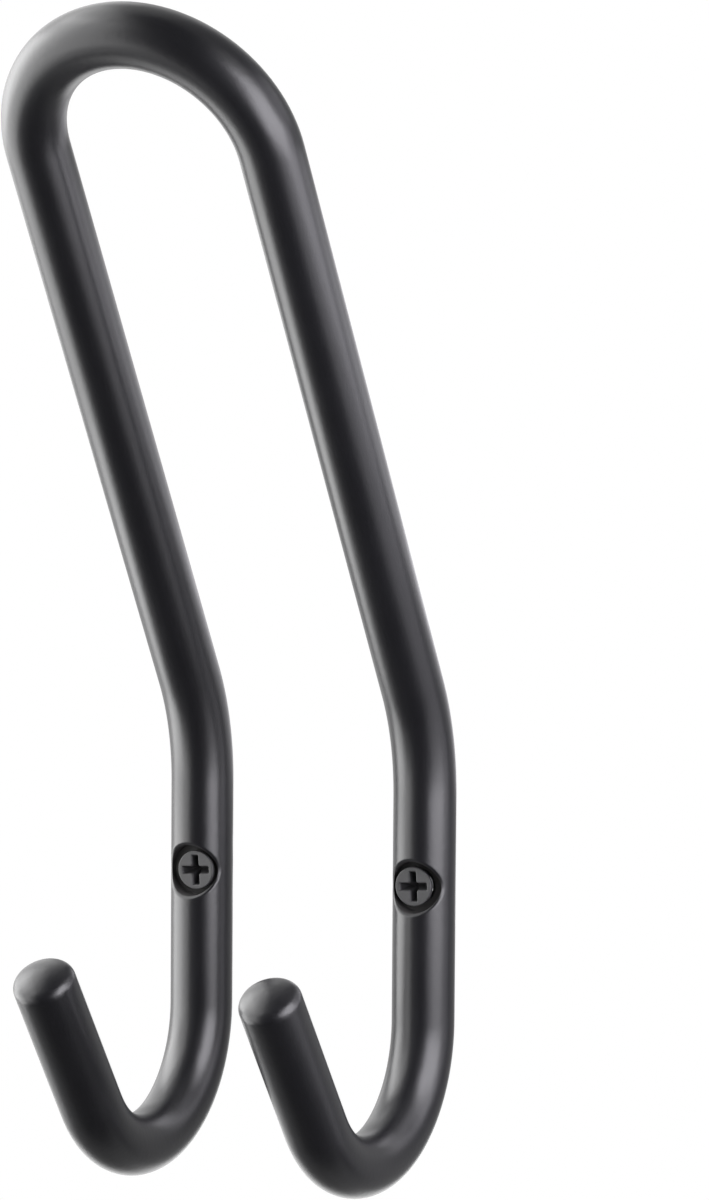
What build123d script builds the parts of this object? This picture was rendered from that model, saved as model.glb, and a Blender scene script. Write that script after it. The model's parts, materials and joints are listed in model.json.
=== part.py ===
from build123d import *
import os
from math import cos, radians, sin, tan

# Double coat hook bent from one round steel bar, with the two screws that hold it to a wall.
# Millimetres and degrees. The wall is the plane y = 0, the hook stands out of it towards -Y,
# +Z is up, and the origin lies on the wall halfway between the two screws.

# The bent bar
BAR_DIAMETER = 10.0
LEG_SPACING = 40.0         # between the two legs' centre lines, which the loop at the top joins
LEAN_ANGLE = 30.0          # how far the upper legs lean forward from the wall
LEAN_RUN = 97.5            # straight length of each leaning leg
LEAN_BEND_RADIUS = 35.0    # of the centre line, as are the other bends
WALL_RUN = 36.0            # straight length of each leg that lies against the wall
HOOK_BEND_RADIUS = 20.0
TIP_ANGLE = 35.0           # how far each hook's tip leans forward from upright
TIP_RUN = 27.9             # straight length of each hook's tip
END_FLAT_DIAMETER = 5.5    # flat left in the middle of each rounded end

# The screw holes
HOLE_ABOVE_HOOK = 21.8     # from the start of the hook's bend up to the hole
HEAD_SET_IN = 1.65         # from the bar's front down to the face of the screw's head
GROOVE_DEPTH = 1.6         # from the head's face down to the floor of the counterbore
GROOVE_WIDTH = 0.65        # round the head, between it and the counterbore's wall
SEAT_GAP = 0.05            # between the head's cone and its seat
BORE_CLEARANCE = 0.35      # between the screw's thread and the bore

# The screws
SCREW_DIAMETER = 3.5       # over the thread
SCREW_NECK_DIAMETER = 2.5  # of the plain neck between head and thread
SCREW_LENGTH = 22.0        # from the head's face to the point
POINT_LENGTH = 3.4
HEAD_DIAMETER = 7.0
HEAD_ANGLE = 90.0          # of the whole countersunk cone
HEAD_EDGE = 0.3            # straight edge between the head's face and its cone
RECESS_ACROSS = 4.8        # over the tips of the cross recess, at the head's face
RECESS_FLOOR = 1.6         # over the tips of the cross recess, at its floor
RECESS_SLOT = 1.2          # width of each slot of the cross
RECESS_DEPTH = 1.9
SCREW_TURN = 4.0           # how far the cross is turned anticlockwise from upright

bar_radius = BAR_DIAMETER / 2
leg_places = (-LEG_SPACING / 2, LEG_SPACING / 2)
head_face = HEAD_SET_IN - BAR_DIAMETER
cone_slope = tan(radians(HEAD_ANGLE / 2))


def leg_line():
    """Centre line of one leg from the side: distance from the wall, then height."""
    wall_foot = (bar_radius, -HOLE_ABOVE_HOOK)
    wall_top = (bar_radius, WALL_RUN - HOLE_ABOVE_HOOK)
    wall_run = Line(wall_foot, wall_top)
    hook_bend = JernArc(wall_foot, (0, -1), HOOK_BEND_RADIUS, 180 - TIP_ANGLE)
    tip_run = Line(hook_bend @ 1, hook_bend @ 1 + TIP_RUN * (hook_bend % 1))
    lean_bend = JernArc(wall_top, (0, 1), LEAN_BEND_RADIUS, -LEAN_ANGLE)
    lean_run = Line(lean_bend @ 1, lean_bend @ 1 + LEAN_RUN * (lean_bend % 1))
    return [tip_run, hook_bend, wall_run, lean_bend, lean_run]


def bar_line():
    """Centre line of the whole bar, from one hook's tip over the loop to the other's."""
    side = leg_line()
    legs = []
    for place in leg_places:
        side_plane = Plane((place, 0, 0), x_dir=(0, -1, 0), z_dir=(-1, 0, 0))
        legs += [side_plane * run for run in side]
    loop_foot = side[-1] @ 1
    lean = radians(LEAN_ANGLE)
    loop_plane = Plane((0, -loop_foot.X, loop_foot.Y), x_dir=(1, 0, 0), z_dir=(0, -cos(lean), -sin(lean)))
    loop = loop_plane * CenterArc((0, 0), LEG_SPACING / 2, 0, 180)
    return Wire(legs + [loop])


def turned(profile):
    """Solid turned about a screw's axis, from (radius, distance from the wall) points."""
    outline = Polyline(*profile, close=True)
    face = make_face(outline)
    return revolve(face, Axis.Y)


def screw_hole():
    """Cutter for one hole: counterbore from the front, conical seat for the head, bore."""
    bore_radius = SCREW_DIAMETER / 2 + BORE_CLEARANCE
    counterbore_radius = HEAD_DIAMETER / 2 + GROOVE_WIDTH
    floor = head_face + GROOVE_DEPTH
    seat_rim = HEAD_DIAMETER / 2 - (GROOVE_DEPTH - HEAD_EDGE) * cone_slope
    seat_rim += SEAT_GAP / cos(radians(HEAD_ANGLE / 2))
    seat_foot = floor + (seat_rim - bore_radius) / cone_slope
    return turned([
        (0, -BAR_DIAMETER - bar_radius),
        (counterbore_radius, -BAR_DIAMETER - bar_radius),
        (counterbore_radius, floor),
        (seat_rim, floor),
        (bore_radius, seat_foot),
        (bore_radius, bar_radius),
        (0, bar_radius),
    ])


def hook_bar():
    """The bar: one round section swept along its bends, ends rounded, both holes cut."""
    line = bar_line()
    inward = (-(line @ 0).X, 0, 0)  # from the first tip towards the other
    section = Plane(line @ 0, x_dir=inward, z_dir=line % 0) * Circle(bar_radius)
    bar = sweep(section, path=line)
    ends = bar.faces().filter_by(GeomType.PLANE)
    bar = fillet(ends.edges(), (BAR_DIAMETER - END_FLAT_DIAMETER) / 2)
    for place in leg_places:
        bar -= Pos(place, 0, 0) * screw_hole()
    return bar


def cross_recess():
    """Cutter for the driver: two crossed slots that narrow towards the floor."""
    face_half = RECESS_ACROSS / 2
    floor_half = RECESS_FLOOR / 2
    outline = Polyline(
        (-face_half, head_face),
        (face_half, head_face),
        (floor_half, head_face + RECESS_DEPTH),
        (-floor_half, head_face + RECESS_DEPTH),
        close=True,
    )
    slot = extrude(make_face(outline), RECESS_SLOT / 2, both=True)
    return slot + Rot(0, 90, 0) * slot


def wall_screw():
    """One countersunk screw on the Y axis, its head's face to the front."""
    head_radius = HEAD_DIAMETER / 2
    neck_radius = SCREW_NECK_DIAMETER / 2
    thread_radius = SCREW_DIAMETER / 2
    cone_foot = head_face + HEAD_EDGE + (head_radius - neck_radius) / cone_slope
    point = head_face + SCREW_LENGTH
    body = turned([
        (0, head_face),
        (head_radius, head_face),
        (head_radius, head_face + HEAD_EDGE),
        (neck_radius, cone_foot),
        (neck_radius, 0),
        (thread_radius, 0),
        (thread_radius, point - POINT_LENGTH),
        (0, point),
    ])
    return Rot(0, -SCREW_TURN, 0) * (body - cross_recess())


os.makedirs("parts", exist_ok=True)
export_step(hook_bar(), "parts/hook_bar.step")
screws = [Pos(place, 0, 0) * wall_screw() for place in leg_places]
export_step(Compound(children=screws), "parts/wall_screws.step")
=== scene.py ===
import json
from math import asin, atan2, cos, pi, radians, sin

import bmesh
import bpy
from mathutils import Matrix, Vector


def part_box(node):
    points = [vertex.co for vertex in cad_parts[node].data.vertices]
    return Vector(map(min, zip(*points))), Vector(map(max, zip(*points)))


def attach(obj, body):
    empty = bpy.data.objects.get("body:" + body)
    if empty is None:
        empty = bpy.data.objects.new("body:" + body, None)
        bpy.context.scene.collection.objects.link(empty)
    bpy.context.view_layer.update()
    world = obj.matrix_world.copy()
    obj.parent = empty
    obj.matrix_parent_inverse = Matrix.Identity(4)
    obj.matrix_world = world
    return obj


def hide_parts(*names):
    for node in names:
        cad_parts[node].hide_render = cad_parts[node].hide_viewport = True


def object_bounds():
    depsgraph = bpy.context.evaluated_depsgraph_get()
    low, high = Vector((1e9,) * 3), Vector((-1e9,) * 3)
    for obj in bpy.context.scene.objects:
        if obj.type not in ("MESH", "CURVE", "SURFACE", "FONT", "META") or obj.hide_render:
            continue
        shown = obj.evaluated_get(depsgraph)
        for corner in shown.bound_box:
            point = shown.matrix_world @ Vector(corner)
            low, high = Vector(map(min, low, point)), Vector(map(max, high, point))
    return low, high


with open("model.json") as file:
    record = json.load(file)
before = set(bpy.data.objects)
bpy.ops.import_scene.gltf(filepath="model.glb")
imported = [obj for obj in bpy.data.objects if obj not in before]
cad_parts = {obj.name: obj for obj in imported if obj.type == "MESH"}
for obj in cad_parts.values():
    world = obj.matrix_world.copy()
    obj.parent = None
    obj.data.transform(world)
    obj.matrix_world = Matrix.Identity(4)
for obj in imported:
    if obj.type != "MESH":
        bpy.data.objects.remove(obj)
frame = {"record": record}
cad_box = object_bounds()


# The bent bar: one length of 10 mm round mild steel, bent cold into a loop, two leaning legs and
# two hooks. Its ends are domed, each leg is counterbored for a screw, and the whole bar is then
# powder coated in satin black, which rounds off the rims of the holes.
mm = 0.001
leg_spacing = frame["record"]["mounts"][0]["dims"]["spacing_x_mm"] * mm
bar_low, bar_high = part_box("hook_bar")
bar_radius = (bar_high.x - bar_low.x - leg_spacing) / 2
leg_line = bar_high.y - bar_radius         # where the legs' centre lines lie, in Y
hook_bend_radius = 20 * mm
hook_turn = radians(145)
right_toe = radians(0.6)                   # the bender left both hooks turned in a little
left_toe = radians(0.2)
tip_run = 28.5 * mm                        # up to the top of the domed end
dome_radius = 9 * mm
end_rounding = 2.0 * mm                    # of the edge between the dome and the bar's side
dome_reach = asin((bar_radius - end_rounding) / (dome_radius - end_rounding))
dome_depth = dome_radius - (dome_radius - end_rounding) * cos(dome_reach)
wall_run = 36 * mm
hole_above_hook = 21.8 * mm
lean_bend_radius = 35 * mm
lean_angle = radians(30)
lean_run = 97.5 * mm

patch_height = 13 * mm                     # of the stretch of a leg that is meshed with its hole
below_hole = hole_above_hook - patch_height / 2
above_hole = wall_run - hole_above_hook - patch_height / 2
run_rows = {                               # rows of mesh along each run of the bar
    "tip": 9, "hook": 48, "below_hole": 5, "hole": 16,
    "above_hole": 4, "lean_bend": 18, "lean": 34, "loop": 60,
}
patch_rows = run_rows["hole"]
dome_rows, rounding_rows = 10, 8


def along(distance):
    """How a section moves straight along the bar."""
    return Matrix.Translation((0, 0, distance))


def round_bend(radius, turn, axis):
    """How a section moves round a bend: about its own X in a leg's plane, its own Y in the loop."""
    centre = Vector((0, -radius, 0)) if axis == "X" else Vector((-radius, 0, 0))
    spin = Matrix.Rotation(turn if axis == "X" else -turn, 4, axis)
    return Matrix.Translation(centre) @ spin @ Matrix.Translation(-centre)


def leg_runs(toe):
    """Each run of a leg from its tip up, with the move from one of its sections to the next."""
    toe_step = Matrix.Rotation(toe / run_rows["below_hole"], 4, "Z")
    return [
        ("tip", along((tip_run - dome_depth) / run_rows["tip"])),
        ("hook", round_bend(hook_bend_radius, hook_turn / run_rows["hook"], "X")),
        ("below_hole", along(below_hole / run_rows["below_hole"]) @ toe_step),
        ("hole", along(patch_height / patch_rows)),
        ("above_hole", along(above_hole / run_rows["above_hole"])),
        ("lean_bend", round_bend(lean_bend_radius, lean_angle / run_rows["lean_bend"], "X")),
        ("lean", along(lean_run / run_rows["lean"])),
    ]


def domed_end():
    """Inset and radius of the rings over one end, from the top of its dome to the bar's side."""
    profile = []
    for step in range(dome_rows):
        swing = dome_reach * step / dome_rows
        profile.append((dome_radius * (1 - cos(swing)), dome_radius * sin(swing)))
    for step in range(rounding_rows):
        swing = dome_reach + (pi / 2 - dome_reach) * step / rounding_rows
        inset = dome_depth - end_rounding * cos(swing)
        profile.append((inset, bar_radius - end_rounding * (1 - sin(swing))))
    return profile


def bar_sections():
    """Place and radius of each section from the right tip to the left, and where holes start."""
    loop = ("loop", round_bend(leg_spacing / 2, pi / run_rows["loop"], "Y"))
    runs = leg_runs(right_toe) + [loop] + leg_runs(-left_toe)[::-1]
    at_hole = Matrix.Translation((leg_spacing / 2, leg_line, 0))
    to_hole = along(tip_run) @ round_bend(hook_bend_radius, hook_turn, "X")
    to_hole = to_hole @ along(hole_above_hook) @ Matrix.Rotation(right_toe, 4, "Z")
    first_end = at_hole @ to_hole.inverted()
    profile = domed_end()
    sections = [(first_end @ along(inset), radius) for inset, radius in profile]
    place = first_end @ along(dome_depth)
    sections.append((place, bar_radius))
    hole_starts = []
    for name, move in runs:
        if name == "hole":
            hole_starts.append(len(sections) - 1)
        for _ in range(run_rows[name]):
            place = place @ move
            sections.append((place, bar_radius))
    last_end = place @ along(dome_depth)
    sections += [(last_end @ along(-inset), radius) for inset, radius in profile[::-1]]
    return sections, hole_starts


counterbore_radius = 4.15 * mm
counterbore_floor = -1.75 * mm             # from the bar's centre line, as all depths in a hole
floor_corner = 0.14 * mm
seat_rim = 2.85 * mm
seat_edge_floor = 0.1 * mm                 # the seat's rim is rounded over this much of the floor
seat_edge_cone = 0.07 * mm                 # and this much of the cone
bore_radius = 2.1 * mm
seat_foot = counterbore_floor + seat_rim - bore_radius
bore_depths = (seat_foot, 0.0, 2.5 * mm)
rim_width = 0.42 * mm                      # of the bevelled rim, at the top and bottom of a hole
rim_depth = 0.36 * mm
rim_edge = 0.14 * mm                       # the coat rounds off the bevel's own edges
back_rim = 0.3 * mm
front_side, back_side = -1, 1
edge_steps, corner_steps = 4, 3
patch_shares = (0.8, 0.6, 0.42, 0.26, 0.14, 0.05)    # of the way from a rim to the patch's border


def on_skin(across, height, side):
    """A point of the bar's round skin, unrolled from its front or its back."""
    turn = across / bar_radius
    return Vector((bar_radius * sin(turn), side * bar_radius * cos(turn), height))


def eased(start, corner, end, count):
    """Points of a rounded edge between two places, drawn towards the sharp corner."""
    steps = [k / count for k in range(count + 1)]
    return [start * (1 - t) ** 2 + corner * (2 * t * (1 - t)) + end * t * t for t in steps]


def hole_line(across, height):
    """One line of a hole: over the front, its rim, floor, seat and bore, and out over the back."""
    turn = atan2(height, across)

    def at(radius, depth):
        return Vector((radius * cos(turn), depth, radius * sin(turn)))

    def skin(radius, side, share=0.0):
        foot = bar_radius * asin(radius * cos(turn) / bar_radius)
        rise = radius * sin(turn)
        return on_skin(foot + (across - foot) * share, rise + (height - rise) * share, side)

    rim_top = counterbore_radius + rim_width + rim_edge
    points = [skin(rim_top, front_side, share) for share in patch_shares]
    bevel_top = skin(counterbore_radius + rim_width, front_side)
    bevel_foot = skin(counterbore_radius, front_side) + Vector((0, rim_depth, 0))
    edge_share = rim_edge / (bevel_foot - bevel_top).length
    below_top = bevel_top.lerp(bevel_foot, edge_share)
    above_foot = bevel_foot.lerp(bevel_top, edge_share)
    wall_top = bevel_foot + Vector((0, rim_edge, 0))
    points += eased(skin(rim_top, front_side), bevel_top, below_top, edge_steps)
    points += eased(above_foot, bevel_foot, wall_top, edge_steps)

    wall_foot = at(counterbore_radius, counterbore_floor - floor_corner)
    floor_start = at(counterbore_radius - floor_corner, counterbore_floor)
    points += eased(wall_foot, at(counterbore_radius, counterbore_floor), floor_start, corner_steps)
    floor_end = at(seat_rim + seat_edge_floor, counterbore_floor)
    seat_top = at(seat_rim - seat_edge_cone, counterbore_floor + seat_edge_cone)
    points += eased(floor_end, at(seat_rim, counterbore_floor), seat_top, corner_steps)

    points += [at(bore_radius, depth) for depth in bore_depths]
    bore_end = skin(bore_radius, back_side)
    bore_edge = bore_end - Vector((0, back_rim, 0))
    points += eased(bore_edge, bore_end, skin(bore_radius + back_rim, back_side), edge_steps)
    points += [skin(bore_radius + back_rim, back_side, share) for share in patch_shares[::-1]]
    return points


bar_columns = 96
column_turn = 2 * pi / bar_columns
front_column, back_column = 72, 24
patch_half = 21                            # columns on each side of a hole that are in its patch
bar_weld = 0.0005 * mm
bar_crease = radians(50)


def patch_border():
    """Row and column of each point round a hole's patch, in order."""
    border = [(0, column) for column in range(-patch_half, patch_half)]
    border += [(row, patch_half) for row in range(patch_rows)]
    border += [(patch_rows, column) for column in range(patch_half, -patch_half, -1)]
    border += [(row, -patch_half) for row in range(patch_rows, 0, -1)]
    return border


def pierce(mesh, rings, start, at_hole):
    """One hole: lines from its patch on the bar's front to the one on its back, and their faces."""
    lines = []
    for row, column in patch_border():
        across = bar_radius * column * column_turn
        height = (row / patch_rows - 0.5) * patch_height
        line = [mesh.verts.new(at_hole @ point) for point in hole_line(across, height)]
        front = rings[start + row][(front_column + column) % bar_columns]
        back = rings[start + row][(back_column - column) % bar_columns]
        lines.append([front] + line + [back])
    for line, after in zip(lines, lines[1:] + lines[:1]):
        for k in range(len(line) - 1):
            mesh.faces.new((line[k], after[k], after[k + 1], line[k + 1]))


def build_bar():
    """The bar's mesh: a grid of rings, left open for the patch of lines through each hole."""
    mesh = bmesh.new()
    sections, hole_starts = bar_sections()
    turns = [column_turn * k for k in range(bar_columns)]
    rings = []
    for place, radius in sections:
        circle = [Vector((radius * cos(turn), radius * sin(turn), 0)) for turn in turns]
        rings.append([mesh.verts.new(place @ point) for point in circle])
    patches = {
        (start + row, (middle + column) % bar_columns)
        for start in hole_starts
        for row in range(patch_rows)
        for middle in (front_column, back_column)
        for column in range(-patch_half, patch_half)
    }
    for row, (ring, next_ring) in enumerate(zip(rings, rings[1:])):
        for column in range(bar_columns):
            if (row, column) not in patches:
                after = (column + 1) % bar_columns
                mesh.faces.new((ring[column], ring[after], next_ring[after], next_ring[column]))
    for start in hole_starts:
        at_hole, _ = sections[start + patch_rows // 2]
        pierce(mesh, rings, start, at_hole)
    bmesh.ops.remove_doubles(mesh, verts=mesh.verts, dist=bar_weld)
    loose = [vert for vert in mesh.verts if not vert.link_faces]
    bmesh.ops.delete(mesh, geom=loose, context="VERTS")
    return mesh


def finished_piece(name, mesh, crease):
    """A smooth-shaded object from a bmesh, with creases kept where its faces meet steeply."""
    bmesh.ops.recalc_face_normals(mesh, faces=mesh.faces)
    data = bpy.data.meshes.new(name)
    mesh.to_mesh(data)
    mesh.free()
    data.polygons.foreach_set("use_smooth", [True] * len(data.polygons))
    data.set_sharp_from_angle(angle=crease)
    piece = bpy.data.objects.new(name, data)
    bpy.context.scene.collection.objects.link(piece)
    return piece


class Signal:
    """A value inside a shader. Sums, differences and products of signals become Math nodes."""

    def __init__(self, socket):
        self.socket = socket

    @staticmethod
    def node(tree, kind, settings, sockets, output=0):
        """Add a node: its settings first, then the values or links of its sockets."""
        made = tree.nodes.new(kind)
        for name, value in settings.items():
            setattr(made, name, value)
        for name, value in sockets.items():
            if isinstance(value, Signal):
                tree.links.new(value.socket, made.inputs[name])
            else:
                made.inputs[name].default_value = value
        return Signal(made.outputs[output]) if made.outputs else None

    def maths(self, operation, first, second):
        tree = self.socket.id_data
        return Signal.node(tree, "ShaderNodeMath", {"operation": operation}, {0: first, 1: second})

    def __add__(self, other):
        return self.maths("ADD", self, other)

    def __radd__(self, other):
        return self.maths("ADD", other, self)

    def __sub__(self, other):
        return self.maths("SUBTRACT", self, other)

    def __rsub__(self, other):
        return self.maths("SUBTRACT", other, self)

    def __mul__(self, other):
        return self.maths("MULTIPLY", self, other)

    def __rmul__(self, other):
        return self.maths("MULTIPLY", other, self)


def new_tree(material):
    """The empty node tree of a material or a world."""
    material.use_nodes = True
    material.node_tree.nodes.clear()
    return material.node_tree


def surface_place(tree):
    """Where a point of the surface lies in its object, in metres."""
    return Signal.node(tree, "ShaderNodeTexCoord", {}, {}, "Object")


def mottle(place, scale, detail):
    """Soft spots over a surface, from 0 to 1, about 1 / scale metres across."""
    sockets = {"Vector": place, "Scale": scale, "Detail": detail}
    return Signal.node(place.socket.id_data, "ShaderNodeTexNoise", {}, sockets, "Fac")


def fade(value, start, end, curve="LINEAR"):
    """0 on the start's side of a range and 1 on the end's, whichever of the two is larger."""
    sockets = {"Value": value, "From Min": start, "From Max": end}
    tree = value.socket.id_data
    return Signal.node(tree, "ShaderNodeMapRange", {"interpolation_type": curve}, sockets)


def colour_between(share, first, second):
    """A colour mixed from two. A Mix node takes colours at sockets 6 and 7 and gives one at 2."""
    sockets = {0: share, 6: first, 7: second}
    return Signal.node(share.socket.id_data, "ShaderNodeMix", {"data_type": "RGBA"}, sockets, 2)


coat_dark, coat_light = (0.0055, 0.0054, 0.0070, 1), (0.0083, 0.0082, 0.0102, 1)
thin_coat = (0.018, 0.017, 0.017, 1)       # in the holes, where little powder reached
thin_coat_end = (0.02 * mm, 0.12 * mm)     # outside the counterbore's wall
thin_coat_depth = 1 * mm                   # how far it fades out behind the bar's centre line
cloud_share = 0.7                          # of the coat's colour, the rest comes from its grain
peel_share = 0.75                          # of the coat's relief, the rest comes from its grain
peel_height = 0.018 * mm
coat_ior = 1.6
coat_roughness = 0.28                      # the next three are added to it
cloud_roughness, grain_roughness, thin_roughness = 0.06, 0.03, 0.4


def powder_coat():
    """Satin black coat: a soft orange peel, a fine grain, and thin and matt in the holes."""
    material = bpy.data.materials.new("satin_black_coat")
    tree = new_tree(material)
    place = surface_place(tree)
    peel = mottle(place, scale=1100.0, detail=1.0)
    grain = mottle(place, scale=5200.0, detail=2.0)
    cloud = mottle(place, scale=90.0, detail=3.0)

    mirrored = Signal.node(
        tree, "ShaderNodeVectorMath", {"operation": "ABSOLUTE"}, {0: place}, "Vector",
    )
    flatten, hole_axis = (1, 0, 1), (leg_spacing / 2, 0, 0)
    flat = Signal.node(
        tree, "ShaderNodeVectorMath", {"operation": "MULTIPLY"},
        {0: mirrored, 1: flatten}, "Vector",
    )
    off_axis = Signal.node(
        tree, "ShaderNodeVectorMath", {"operation": "DISTANCE"}, {0: flat, 1: hole_axis}, "Value",
    )
    depth = Signal.node(tree, "ShaderNodeSeparateXYZ", {}, {"Vector": place}, "Y")
    thin_full, thin_gone = [counterbore_radius + outside for outside in thin_coat_end]
    thin = fade(off_axis, thin_gone, thin_full) * fade(depth, leg_line + thin_coat_depth, leg_line)

    black = colour_between(cloud * cloud_share + grain * (1 - cloud_share), coat_dark, coat_light)
    shade = colour_between(thin, black, thin_coat)
    relief = peel * peel_share + grain * (1 - peel_share)
    bump = Signal.node(
        tree, "ShaderNodeBump", {}, {"Strength": 1.0, "Distance": peel_height, "Height": relief},
    )
    sheen = coat_roughness + cloud * cloud_roughness + grain * grain_roughness
    sheen = sheen + thin * thin_roughness
    coat = Signal.node(
        tree, "ShaderNodeBsdfPrincipled", {},
        {"Base Color": shade, "Roughness": sheen, "Normal": bump, "IOR": coat_ior},
    )
    Signal.node(tree, "ShaderNodeOutputMaterial", {}, {"Surface": coat})
    return material


bent_bar = finished_piece("bent_bar", build_bar(), bar_crease)
bent_bar.data.materials.append(powder_coat())
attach(bent_bar, "root")
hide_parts("hook_bar")


# The wall screws: two countersunk wood screws of 3.5 mm, cold headed and thread rolled from steel
# wire, zinc plated, then painted black on the head to match the bar. Each is driven through its leg
# into the wall by a cross recess, and stops with its head sunk below the bar's front.
screw_low, screw_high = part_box("wall_screws")
head_face = screw_low.y                    # depths on a screw are taken from here
screw_length = screw_high.y - screw_low.y
cone_radius = (screw_high.x - screw_low.x - leg_spacing) / 2    # at the sharp edge of the cone
cone_edge = 0.3 * mm
edge_loss = 0.36 * mm                      # the real head ends this much inside the sharp edge
head_radius = cone_radius - edge_loss
head_edge = cone_edge + cone_radius - head_radius
head_rounding = 0.16 * mm
face_ring = 0.4 * mm                       # from the head's edge in to its flat's first ring
face_margin = 0.03 * mm
neck_radius = 1.25 * mm
neck_fillet = 0.35 * mm
thread_start = -head_face                  # at the wall
left_inset, right_inset = 0.58 * mm, 0.33 * mm    # each sits off centre, towards the other
screw_columns = 64
rounding_steps, fillet_steps = 5, 5


def head_rings():
    """Rings from the head's face to the thread's start, as (radius, depth) at each column."""
    profile = [(head_radius - face_ring, 0), (head_radius - head_rounding - face_margin, 0)]
    for step in range(rounding_steps + 1):
        swing = pi / 2 * step / rounding_steps
        radius = head_radius - head_rounding * (1 - sin(swing))
        profile.append((radius, head_rounding * (1 - cos(swing))))
    profile.append((head_radius, head_edge))
    cone_foot = head_edge + head_radius - neck_radius
    cone_end = Vector((neck_radius + neck_fillet, cone_foot - neck_fillet))
    neck_start = Vector((neck_radius, cone_foot + neck_fillet))
    fillet = eased(cone_end, Vector((neck_radius, cone_foot)), neck_start, fillet_steps)
    profile += [tuple(point) for point in fillet]
    profile.append((neck_radius, thread_start))
    return [[ring] * screw_columns for ring in profile]


thread_radius = frame["record"]["mounts"][0]["dims"]["stud_r_mm"] * mm
core_radius = 1.1 * mm
thread_pitch = 1.55 * mm
thread_lead = 1.3 * thread_pitch           # the thread rises from the neck over this length
thread_rows = ((0.0, 0), (0.26, 0), (0.46, 1), (0.54, 1), (0.74, 0))    # share of a pitch, ridge
point_length = 3.4 * mm
point_taper, crest_taper = 0.8, 0.9        # powers that give the point its slight belly
spare_turns = 3                            # of the thread, cut off at its start and point


def thread_rings():
    """Rows of the thread, which climb one pitch a turn, held between the neck and the point."""
    rows = []
    turns = int((screw_length - thread_start) / thread_pitch) + spare_turns
    for turn in range(turns):
        for share, ridge in thread_rows:
            row = []
            for column in range(screw_columns):
                climb = turn - 1 + share + column / screw_columns
                depth = thread_start + thread_pitch * climb
                depth = min(max(depth, thread_start), screw_length)
                lead = min(1, (depth - thread_start) / thread_lead)
                point = min(1, (screw_length - depth) / point_length)
                root = neck_radius + (core_radius - neck_radius) * lead
                root *= point ** point_taper
                crest = (thread_radius - root) * lead * point ** crest_taper
                row.append((root + ridge * crest, depth))
            rows.append(row)
    return rows


recess_depth = 1.9 * mm
recess_half_length, recess_half_width = 2.4 * mm, 0.6 * mm    # at the head's face
recess_levels = (                          # half length, half width, share of the depth
    (2.2 * mm, 0.46 * mm, 0.4),
    (1.8 * mm, 0.27 * mm, 0.75),
    (1.3 * mm, 0.05 * mm, 1.0),
)
recess_lip = 0.16 * mm
lip_margin = 1.2 * recess_lip              # how far round the recess its lip starts
recess_turn = radians(4)
arm_rounding = 0.16 * mm                   # at the arms' ends
most_rounding = 0.8                        # share of an arm's half width that it may take
crook_rounding = 0.26 * mm                 # between two arms
cross_steps, lip_steps = 4, 4


def cross_outline(half_length, half_width, depth):
    """Outline of the driver's cross at one depth, with rounded corners."""
    outer = min(arm_rounding, half_width * most_rounding)
    inner = crook_rounding
    arcs = (                               # centre, radius, start and sweep of an arm's corners
        (half_length - outer, outer - half_width, outer, -90, 90),
        (half_length - outer, half_width - outer, outer, 0, 90),
        (half_width + inner, half_width + inner, inner, -90, -90),
    )
    points = []
    for arm in range(4):
        arm_turn = Matrix.Rotation(-recess_turn - arm * pi / 2, 3, "Y")
        for x, z, radius, start, sweep in arcs:
            for step in range(cross_steps + 1):
                turn = radians(start + sweep * step / cross_steps)
                corner = (x + radius * cos(turn), head_face + depth, z + radius * sin(turn))
                points.append(arm_turn @ Vector(corner))
    return points


def recess_outlines():
    """Outlines of the recess from its rounded lip at the head's face down to its floor."""
    lips = [(lip_margin, 0)]
    for step in range(lip_steps + 1):
        swing = pi / 2 * step / lip_steps
        lips.append((recess_lip * (1 - sin(swing)), recess_lip * (1 - cos(swing))))
    outlines = [
        cross_outline(recess_half_length + spread, recess_half_width + spread, depth)
        for spread, depth in lips
    ]
    for half_length, half_width, share in recess_levels:
        outlines.append(cross_outline(half_length, half_width, recess_depth * share))
    return outlines


screw_weld = 0.001 * mm
least_edge = 0.0005 * mm
screw_crease = radians(38)


def build_screw():
    """The screw's mesh, with its axis along Y and its head to the front."""
    mesh = bmesh.new()

    def join_loops(loops):
        for one, two in zip(loops, loops[1:]):
            for k in range(len(one)):
                after = (k + 1) % len(one)
                mesh.faces.new((one[k], one[after], two[after], two[k]))

    def ring_verts(ring):
        verts = []
        for column, (radius, depth) in enumerate(ring):
            turn = -2 * pi * column / screw_columns
            point = (radius * cos(turn), head_face + depth, radius * sin(turn))
            verts.append(mesh.verts.new(point))
        return verts

    rings = [ring_verts(ring) for ring in head_rings()]
    join_loops(rings)
    rows = [ring_verts(row) for row in thread_rings()]
    pitch_rows = len(thread_rows)
    for number, (one, two) in enumerate(zip(rows, rows[1:])):
        for column in range(screw_columns - 1):
            mesh.faces.new((one[column], one[column + 1], two[column + 1], two[column]))
        if number + pitch_rows + 1 < len(rows):
            next_one, next_two = rows[number + pitch_rows], rows[number + pitch_rows + 1]
            mesh.faces.new((one[-1], next_one[0], next_two[0], two[-1]))
    recess = [[mesh.verts.new(point) for point in outline] for outline in recess_outlines()]
    join_loops(recess)
    mesh.faces.new(recess[-1])
    face_edges = []
    for loop in (rings[0], recess[0]):
        for one, two in zip(loop, loop[1:] + loop[:1]):
            face_edges.append(mesh.edges.get((one, two)))
    bmesh.ops.triangle_fill(mesh, use_beauty=True, use_dissolve=False, edges=face_edges)
    bmesh.ops.remove_doubles(mesh, verts=mesh.verts, dist=screw_weld)
    bmesh.ops.dissolve_degenerate(mesh, dist=least_edge, edges=mesh.edges)
    return mesh


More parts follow.
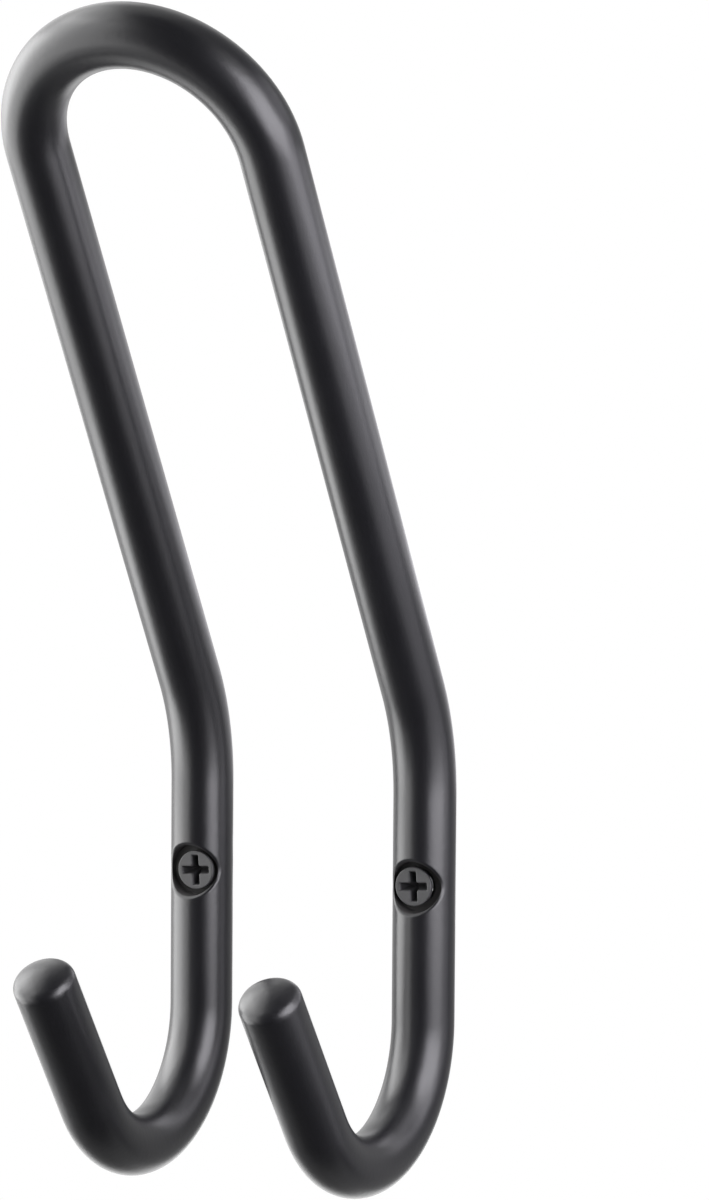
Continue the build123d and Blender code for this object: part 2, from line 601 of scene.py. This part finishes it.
paint_dark, paint_light = (0.034, 0.034, 0.036, 1), (0.054, 0.054, 0.055, 1)
# a painted shade: the near black that the paint turns to deep in the cross recess and under the
# head
recess_painted_shade = (0.008, 0.008, 0.009, 1)
recess_fade = (0.15 * mm, 0.6 * mm)        # depths between which the paint turns matt and darkens with painted shade
zinc_dark, zinc_light = (0.42, 0.45, 0.49, 1), (0.60, 0.62, 0.63, 1)
paint_end = 3.3 * mm
paint_end_waver = 0.5 * mm
paint_end_fade = 0.12 * mm
paint_relief = 0.01 * mm
grain_share = 0.5                          # of that relief, the rest comes from the paint's patches
paint_roughness = 0.42
patchy_roughness, matt_roughness = 0.1, 0.4    # added to it
zinc_polish = 0.1                          # taken from it


def screw_finish():
    """Black paint on the head, matt and darkened with painted shade in its recess and below, and
    bluish zinc on the thread.
    """
    material = bpy.data.materials.new("painted_zinc_steel")
    tree = new_tree(material)
    place = surface_place(tree)
    depth = Signal.node(tree, "ShaderNodeSeparateXYZ", {}, {"Vector": place}, "Y")
    patchy = mottle(place, scale=700.0, detail=3.0)
    grain = mottle(place, scale=5000.0, detail=2.0)

    bare_start = head_face + paint_end - paint_end_fade
    bare_full = head_face + paint_end + paint_end_fade
    plated = fade(depth + (patchy - 0.5) * paint_end_waver, bare_start, bare_full, "SMOOTHSTEP")
    sunk_start, sunk_full = [head_face + below for below in recess_fade]
    # painted shade: below the head's face the paint darkens to a near black for the shade in the
    # cross recess, and turns matt
    sunk = fade(depth, sunk_start, sunk_full, "SMOOTHSTEP")

    paint = colour_between(grain, paint_dark, paint_light)
    zinc = colour_between(patchy, zinc_dark, zinc_light)
    shade = colour_between(plated, colour_between(sunk, paint, recess_painted_shade), zinc)
    relief = grain * grain_share + patchy * (1 - grain_share)
    bump = Signal.node(
        tree, "ShaderNodeBump", {}, {"Strength": 1.0, "Distance": paint_relief, "Height": relief},
    )
    matt = sunk * (1 - plated)
    sheen = paint_roughness + patchy * patchy_roughness + matt * matt_roughness
    sheen = sheen - plated * zinc_polish
    steel = Signal.node(
        tree, "ShaderNodeBsdfPrincipled", {},
        {"Base Color": shade, "Metallic": plated, "Roughness": sheen, "Normal": bump},
    )
    Signal.node(tree, "ShaderNodeOutputMaterial", {}, {"Surface": steel})
    return material


left_screw = finished_piece("wall_screw_left", build_screw(), screw_crease)
left_screw.data.materials.append(screw_finish())
right_screw = bpy.data.objects.new("wall_screw_right", left_screw.data)
bpy.context.scene.collection.objects.link(right_screw)
left_screw.location = (left_inset - leg_spacing / 2, 0, 0)
right_screw.location = (leg_spacing / 2 - right_inset, 0, 0)
for screw in (left_screw, right_screw):
    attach(screw, "root")
    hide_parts("wall_screws")


# The studio: a pale floor well below the hook, and a white wall that hides the screws' threads.
# Large softboxes stand on the left, small lamps close by on the right and behind, and grey cloths
# that only reflections meet leave the black coat its depth. The cloths are not lit by the lamps but
# glow at set levels: painted light and shade for the room round the hook.
object_middle = (cad_box[0] + cad_box[1]) / 2
white = (1, 1, 1, 1)
floor_height = -0.9


def plain_mesh(name, verts, faces, material):
    """A stage object from points and faces."""
    data = bpy.data.meshes.new(name)
    data.from_pydata(verts, [], faces)
    data.materials.append(material)
    thing = bpy.data.objects.new(name, data)
    bpy.context.scene.collection.objects.link(thing)
    return thing


def white_where_seen(tree):
    """1 for rays that show the background, straight or in a reflection, and 0 for the others."""
    kinds = ("Is Camera Ray", "Is Glossy Ray", "Is Transmission Ray")
    rays = [Signal.node(tree, "ShaderNodeLightPath", {}, {}, kind) for kind in kinds]
    return rays[0] + rays[1] + rays[2]


def glow(tree, colour):
    """Light of one colour, at the level where white is the white of the background."""
    return Signal.node(tree, "ShaderNodeEmission", {}, {"Color": colour, "Strength": 1.0})


floor_radius = 2.5
floor_sides = 48
floor_fade = (0.4, 1.8)                    # from its middle, where the paper turns to plain white
paper_dark, paper_light = (0.78, 0.78, 0.78, 1), (0.82, 0.82, 0.82, 1)


def floor_paper():
    """Pale paper that keeps the hook's shadow near it and turns to the room's white further out."""
    material = bpy.data.materials.new("floor_paper")
    tree = new_tree(material)
    place = surface_place(tree)
    reach = Signal.node(tree, "ShaderNodeVectorMath", {"operation": "LENGTH"}, {0: place}, "Value")
    far = fade(reach, *floor_fade, "SMOOTHSTEP")
    tone = colour_between(mottle(place, scale=60.0, detail=4.0), paper_dark, paper_light)
    paper = Signal.node(tree, "ShaderNodeBsdfDiffuse", {}, {"Color": tone})
    share = far * white_where_seen(tree)
    shown = Signal.node(tree, "ShaderNodeMixShader", {}, {0: share, 1: paper, 2: glow(tree, white)})
    Signal.node(tree, "ShaderNodeOutputMaterial", {}, {"Surface": shown})
    return material


floor_turns = [2 * pi * k / floor_sides for k in range(floor_sides)]
floor_edge = [(floor_radius * cos(turn), floor_radius * sin(turn), 0) for turn in floor_turns]
floor = plain_mesh("floor", floor_edge, [list(range(floor_sides))], floor_paper())
floor.location = (object_middle.x, object_middle.y, floor_height)


def wall_white():
    """White on the wall's room side, and clear from behind, so that the hook's back can be seen."""
    material = bpy.data.materials.new("wall_white")
    tree = new_tree(material)
    behind = Signal.node(tree, "ShaderNodeNewGeometry", {}, {}, "Backfacing")
    front = glow(tree, white)
    clear = Signal.node(tree, "ShaderNodeBsdfTransparent", {}, {})
    shown = Signal.node(tree, "ShaderNodeMixShader", {}, {0: behind, 1: front, 2: clear})
    Signal.node(tree, "ShaderNodeOutputMaterial", {}, {"Surface": shown})
    return material


wall_reach = 2.5
wall_corners = [
    (-wall_reach, bar_high.y, floor_height),
    (wall_reach, bar_high.y, floor_height),
    (wall_reach, bar_high.y, wall_reach),
    (-wall_reach, bar_high.y, wall_reach),
]
wall = plain_mesh("wall", wall_corners, [(0, 1, 2, 3)], wall_white())
wall.visible_diffuse = wall.visible_glossy = wall.visible_shadow = False


def from_middle(azimuth, elevation, distance):
    """The way from the object to a place round it, in degrees. Azimuth runs from front to right."""
    turn, rise = radians(azimuth), radians(elevation)
    return distance * Vector((sin(turn) * cos(rise), -cos(turn) * cos(rise), sin(rise)))


left_tint, right_tint = (1, 1, 1), (1, 0.98, 1.05)    # the lamps on the right are slightly cooler


def hang_lamp(name, azimuth, elevation, distance, width, height, brightness):
    """A soft lamp turned to the object. Its brightness is in units of the white background."""
    data = bpy.data.lights.new(name, "AREA")
    data.shape = "RECTANGLE"
    data.size, data.size_y = width, height
    data.energy = brightness * pi * width * height
    data.color = right_tint if azimuth > 0 else left_tint
    lamp = bpy.data.objects.new(name, data)
    bpy.context.scene.collection.objects.link(lamp)
    lamp.location = object_middle + from_middle(azimuth, elevation, distance)
    lamp.rotation_euler = (object_middle - lamp.location).to_track_quat("-Z", "Y").to_euler()
    lamp.visible_camera = False


lamps = (
    # name, azimuth, elevation, distance, width, height, brightness
    ("softbox_left", -78, 2, 0.75, 0.66, 1.5, 3.2),
    ("softbox_left_front", -40, 8, 0.75, 0.374, 1.0, 1.75),
    ("softbox_left_high", -78, 54, 0.75, 0.7, 0.32, 2.0),
    ("lamp_left_back", -122, 24, 0.33, 0.22, 0.42, 1.0),
    ("softbox_back_low", -150, -35, 0.75, 0.6, 0.4, 1.3),
    ("lamp_right", 80, 0, 0.33, 0.23, 0.177, 4.5),
    ("lamp_right_front", 55, 0, 0.33, 0.1, 0.177, 4.8),
    ("lamp_right_low", 95, -21, 0.33, 0.38, 0.22, 0.8),
    ("lamp_loop", 69, 27, 0.336, 0.2, 0.12, 4.8),
    ("lamp_loop_side", 103, 17, 0.26, 0.12, 0.06, 2.2),
    ("lamp_loop_left", -90, 16, 0.33, 0.24, 0.25, 2.6),
    ("lamp_loop_under", -80, -31, 0.141, 0.11, 0.045, 1.8),
    ("lamp_loop_back", 174, -8, 0.11, 0.085, 0.05, 0.6),
    ("lamp_loop_low", 75, 18, 0.3, 0.2, 0.1, 1.3),
    ("lamp_loop_rear", 117, 36, 0.277, 0.16, 0.12, 1.2),
    ("lamp_rear", 108, -2, 0.25, 0.1, 0.08, 2.6),
    ("lamp_rear_far", 130, 3, 0.25, 0.17, 0.08, 0.95),
    ("lamp_back", 160, 10, 0.164, 0.2, 0.08, 0.85),
)
for lamp_row in lamps:
    hang_lamp(*lamp_row)


cloth_distance = 1.6
cloth_above_floor = 0.01
cloth_steps = 24
nap_shade = 0.8                            # the darkest of a cloth's nap, as a share of its tone


def cloth_painted_glow(name, tone):
    """Grey cloth glowing at its tone, painted light and shade for that part of the room, with a
    faint nap.
    """
    material = bpy.data.materials.new(name)
    tree = new_tree(material)
    nap = mottle(surface_place(tree), scale=30.0, detail=2.0)
    dark = tone * nap_shade
    colour = colour_between(nap, (dark, dark, dark, 1), (tone, tone, tone, 1))
    # painted light and shade: the cloth glows at its tone and is not lit by the lamps
    Signal.node(tree, "ShaderNodeOutputMaterial", {}, {"Surface": glow(tree, colour)})
    return material


def hang_cloth(name, azimuths, elevations, tone):
    """A cloth hung round part of the room and laid on the floor, which only reflections meet."""
    lowest = floor_height + cloth_above_floor - object_middle.z
    verts = []
    for row in range(cloth_steps + 1):
        elevation = elevations[0] + (elevations[1] - elevations[0]) * row / cloth_steps
        for column in range(cloth_steps + 1):
            azimuth = azimuths[0] + (azimuths[1] - azimuths[0]) * column / cloth_steps
            reach = from_middle(azimuth, elevation, cloth_distance)
            if reach.z < lowest:
                reach *= lowest / reach.z
            verts.append(object_middle + reach)
    row_length = cloth_steps + 1
    faces = []
    for row in range(cloth_steps):
        for column in range(cloth_steps):
            k = row * row_length + column
            faces.append((k, k + 1, k + row_length + 1, k + row_length))
    cloth = plain_mesh(name, verts, faces, cloth_painted_glow(name, tone))
    cloth.visible_camera = cloth.visible_transmission = False
    cloth.visible_diffuse = cloth.visible_shadow = False


cloths = (
    # name, azimuths, elevations, tone (the painted light and shade each cloth glows at)
    ("cloth_front", (-20, 60), (-45, 50), 0.04),
    ("cloth_over", (-60, 60), (50, 89), 0.04),
    ("cloth_over_right", (60, 180), (50, 89), 0.34),
    ("cloth_over_left", (-180, -60), (50, 89), 0.75),
    ("cloth_floor_left", (-180, -60), (-89, -45), 0.33),
    ("cloth_floor", (-60, 115), (-89, -45), 0.05),
    ("cloth_floor_back", (115, 180), (-89, -45), 0.44),
    ("cloth_right_low", (60, 100), (-45, -15), 0.22),
    ("cloth_back_right", (100, 138), (-45, 50), 0.08),
    ("cloth_back", (138, 180), (-45, 50), 0.45),
)
for cloth_row in cloths:
    hang_cloth(*cloth_row)

room_light = 0.4                           # of the room's white, for rays that don't show it
world = bpy.data.worlds.new("white_room")
bpy.context.scene.world = world
world.cycles.sampling_method = "NONE"
room = new_tree(world)
room_strength = white_where_seen(room) * (1 - room_light) + room_light
room_white = Signal.node(
    room, "ShaderNodeBackground", {}, {"Color": white, "Strength": room_strength},
)
Signal.node(room, "ShaderNodeOutputWorld", {}, {"Surface": room_white})
bpy.context.scene.view_settings.view_transform = "Standard"


# The camera: a long lens about a metre away, a little above the screws and to the right of the
# hook. Its place, roll and lens come from a fit to the bar's outline in the photograph.
camera_azimuth, camera_elevation = 26.8555, 5.212
camera_roll = radians(0.4132)
camera_distance = 946.89 * mm
camera_aim = Vector((3.068, 3.261, 43.797)) * mm
camera_back = from_middle(camera_azimuth, camera_elevation, 1.0)
lens = bpy.data.cameras.new("camera")
lens.sensor_width = 36
lens.lens = 177.137
camera = bpy.data.objects.new("camera", lens)
bpy.context.scene.collection.objects.link(camera)
camera.location = camera_aim + camera_back * camera_distance
turned = (-camera_back).to_track_quat("-Z", "Y").to_matrix().to_4x4()
camera.rotation_euler = (turned @ Matrix.Rotation(camera_roll, 4, "Z")).to_euler()
bpy.context.scene.camera = camera
